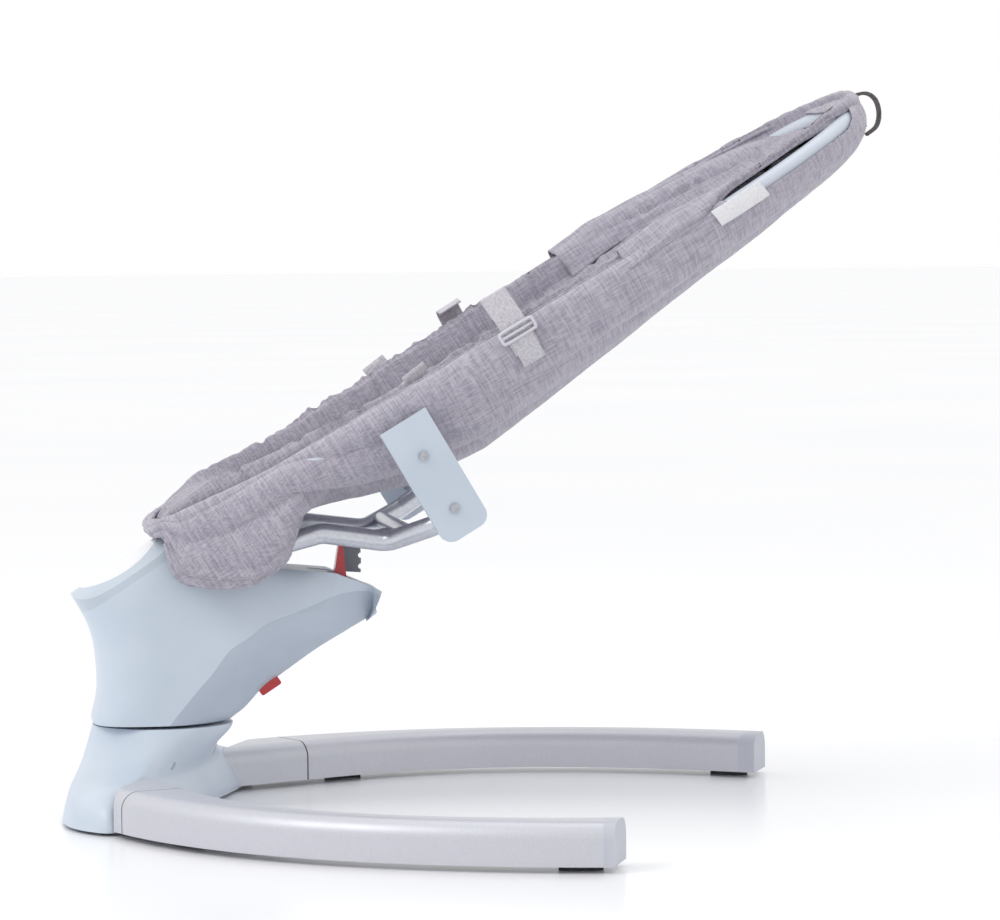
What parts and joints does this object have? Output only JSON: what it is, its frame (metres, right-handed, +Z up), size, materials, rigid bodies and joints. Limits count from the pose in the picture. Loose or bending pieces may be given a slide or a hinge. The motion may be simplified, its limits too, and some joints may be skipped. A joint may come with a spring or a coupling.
{
  "type": "baby swing",
  "caption": "Baby swing: padded oval sling seat on a reclining hinge, carried by a swaying tower on a curved floor base.",
  "frame": {"origin": "on the floor under the sway axis, the vertical centre line of the post", "axes": "+Z up, +X towards the open end of the horseshoe base, Y across it; the seat and tower rest turned 22.5 degrees about +Z"},
  "size_m": [0.7258, 0.7591, 0.6737],
  "materials": {
    "shell_blue_white": "satin moulded ABS",
    "panel_white": "gloss moulded",
    "leg_silver": "satin silver lacquer",
    "cap_pale": "moulded",
    "rubber_dark": "moulded",
    "steel_zinc": "zinc plated",
    "tube_silver": "satin",
    "inner_plastic": "moulded nylon",
    "copper": "enamelled winding",
    "red_plastic": "moulded",
    "fabric_grey": "slub linen weave",
    "fabric_pad": "quilted slub linen",
    "webbing": "woven webbing",
    "piping_dark": "corded piping",
    "tag_white": "plain satin tag",
    "board_green": "circuit board",
    "rack_grey": "moulded acetal"
  },
  "bodies": {
    "base": {"pedestal_rear_shell": "shell_blue_white", "pedestal_front_shell": "shell_blue_white", "base_floor_plate": "inner_plastic", "leg_rear_left": "leg_silver", "leg_rear_right": "leg_silver", "leg_front_left": "leg_silver", "leg_front_right": "leg_silver", "leg_gaskets": "cap_pale", "leg_connectors": "steel_zinc", "leg_end_cap_left": "cap_pale", "leg_end_cap_right": "cap_pale", "rubber_feet": "rubber_dark", "base_screws": "steel_zinc", "screw_plugs": "cap_pale", "swing_post": "steel_zinc", "drive_coil": "copper", "coil_carrier": "inner_plastic", "thrust_washer": "inner_plastic", "dc_inlet": "inner_plastic"},
    "tower": {"tower_housing": "shell_blue_white", "arm_under_cover": "shell_blue_white", "head_bezel": "shell_blue_white", "control_panel": "panel_white", "control_board": "board_green", "speaker": "inner_plastic", "bearing_carrier": "inner_plastic", "post_bushes": "rack_grey", "magnet_ring": "steel_zinc", "hinge_axle": "steel_zinc", "hinge_bushes": "rack_grey", "latch_pin": "steel_zinc", "button_spring": "steel_zinc"},
    "button": {"recline_button": "red_plastic"},
    "latch": {"latch_lever": "red_plastic"},
    "seat": {"support_tube_left": "tube_silver", "support_tube_right": "tube_silver", "support_crossbar": "tube_silver", "hinge_hubs": "rack_grey", "recline_rack": "rack_grey", "side_bracket_left": "shell_blue_white", "side_bracket_right": "shell_blue_white", "bracket_screws": "steel_zinc", "seat_ring": "shell_blue_white", "sling_fabric": "fabric_grey", "seat_insert": "fabric_pad", "side_straps": "webbing", "strap_sliders": "webbing", "carry_loop": "piping_dark", "sewn_tag": "tag_white", "harness_buckle": "rack_grey", "harness_crotch_strap": "webbing", "harness_waist_straps": "webbing"}
  },
  "joints": [
    {"name": "sway", "type": "hinge", "parent": "base", "child": "tower", "pos_m": [0, 0, 0.1], "axis": [0, 0, 1], "range_deg": [-45, 0]},
    {"name": "seat_recline", "type": "hinge", "parent": "tower", "child": "seat", "pos_m": [0.0231, 0.00957, 0.229], "axis": [-0.3827, 0.9239, 0], "range_deg": [0, 14.5]},
    {"name": "recline_button_press", "type": "slide", "parent": "tower", "child": "button", "axis": [-0.5032, -0.2084, 0.8387], "range_m": [0, 0.004], "stiffness_N_per_m": 400, "deforming": ["button_spring"]},
    {"name": "latch_tilt", "type": "hinge", "parent": "tower", "child": "latch", "pos_m": [0.16255, 0.04135, 0.211], "axis": [-0.3827, 0.9239, 0], "range_deg": [-12, 0], "stiffness_Nm_per_rad": 0.3}
  ]
}
